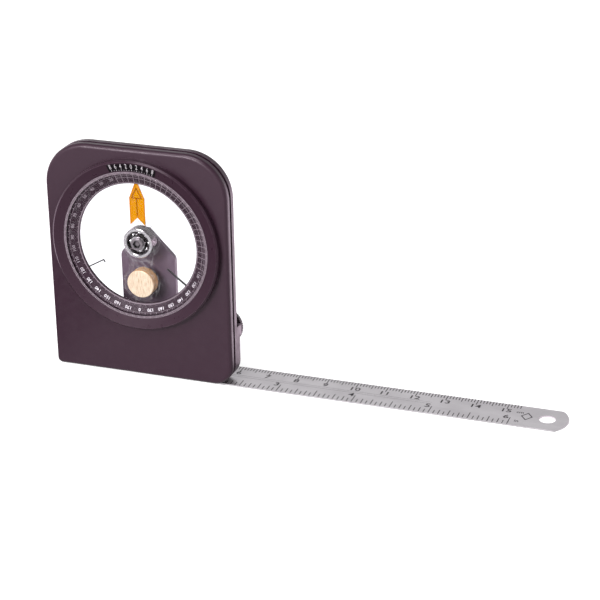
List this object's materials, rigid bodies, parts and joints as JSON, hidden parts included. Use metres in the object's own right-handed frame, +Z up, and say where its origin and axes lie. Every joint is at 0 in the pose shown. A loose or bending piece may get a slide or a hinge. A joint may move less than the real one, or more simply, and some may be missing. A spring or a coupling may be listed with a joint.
{
  "type": "pendulum goniometer",
  "caption": "Flat case with a see-through turning dial and a free-swinging weighted pointer on a ball bearing, standing on a steel rule.",
  "frame": {"origin": "on the underside of the steel rule, straight below the dial's axis, in the plane where the case halves meet", "axes": "+X along the rule towards its hole end, +Y from the front of the dial to the back, +Z up"},
  "size_m": [0.1712, 0.0181, 0.0783],
  "materials": {
    "case_plastic": "fine matt texture",
    "bezel_plastic": "satin",
    "printed_black": "matt black with pale printing",
    "clear_plastic": "clear",
    "rubber": "matt",
    "inner_plastic": "matt",
    "screw_steel": "bright",
    "bearing_steel": "polished",
    "brass": "turned",
    "orange_plastic": "translucent orange",
    "dark_wire": "blackened",
    "plate_metal": "satin dark grey",
    "knob_plastic": "satin",
    "magnet": "nickel plated",
    "rule_steel": "satin chrome with etched scales"
  },
  "bodies": {
    "case": {"front_shell": "case_plastic", "rear_shell": "case_plastic", "bezel": "bezel_plastic", "vernier_plate": "printed_black", "dial_retainer": "inner_plastic", "retainer_screws": "screw_steel", "rear_window": "clear_plastic", "axle_screw": "screw_steel", "axle_spacer": "screw_steel", "bearing_inner_race": "bearing_steel", "rear_plate": "plate_metal", "threaded_inserts": "brass", "base_magnets": "magnet", "case_screws": "screw_steel"},
    "dial": {"dial_ring": "printed_black", "dial_lens": "clear_plastic", "dial_o_ring": "rubber", "reading_wire_left": "dark_wire", "reading_wire_right": "dark_wire"},
    "pendulum": {"pendulum_body": "clear_plastic", "pendulum_weight": "brass", "pointer": "orange_plastic", "bearing_outer_race": "bearing_steel"},
    "ball_cage": {"bearing_cage": "bearing_steel", "bearing_balls": "bearing_steel"},
    "rule": {"steel_rule": "rule_steel"},
    "left_screw": {"thumb_screw_left": "knob_plastic"},
    "right_screw": {"thumb_screw_right": "knob_plastic"}
  },
  "joints": [
    {"name": "dial_turn", "type": "hinge", "parent": "case", "child": "dial", "pos_m": [0, 0, 0.0464], "axis": [0, 1, 0], "continuous": true},
    {"name": "pendulum_swing", "type": "hinge", "parent": "case", "child": "pendulum", "pos_m": [0, 0, 0.0464], "axis": [0, 1, 0], "continuous": true},
    {"name": "ball_cage_roll", "type": "hinge", "parent": "case", "child": "ball_cage", "pos_m": [0, 0, 0.0464], "axis": [0, 1, 0], "continuous": true},
    {"name": "rule_slide", "type": "slide", "parent": "case", "child": "rule", "axis": [1, 0, 0], "range_m": [-0.1, 0.02]},
    {"name": "left_screw_turn", "type": "hinge", "parent": "case", "child": "left_screw", "pos_m": [-0.025, 0, 0.01705], "axis": [0, 1, 0], "range_deg": [-720, 0]},
    {"name": "right_screw_turn", "type": "hinge", "parent": "case", "child": "right_screw", "pos_m": [0.025, 0, 0.01705], "axis": [0, 1, 0], "range_deg": [-720, 0]}
  ],
  "couplings": [
    {"joint": "ball_cage_roll", "follows": "pendulum_swing", "ratio": 0.626}
  ]
}
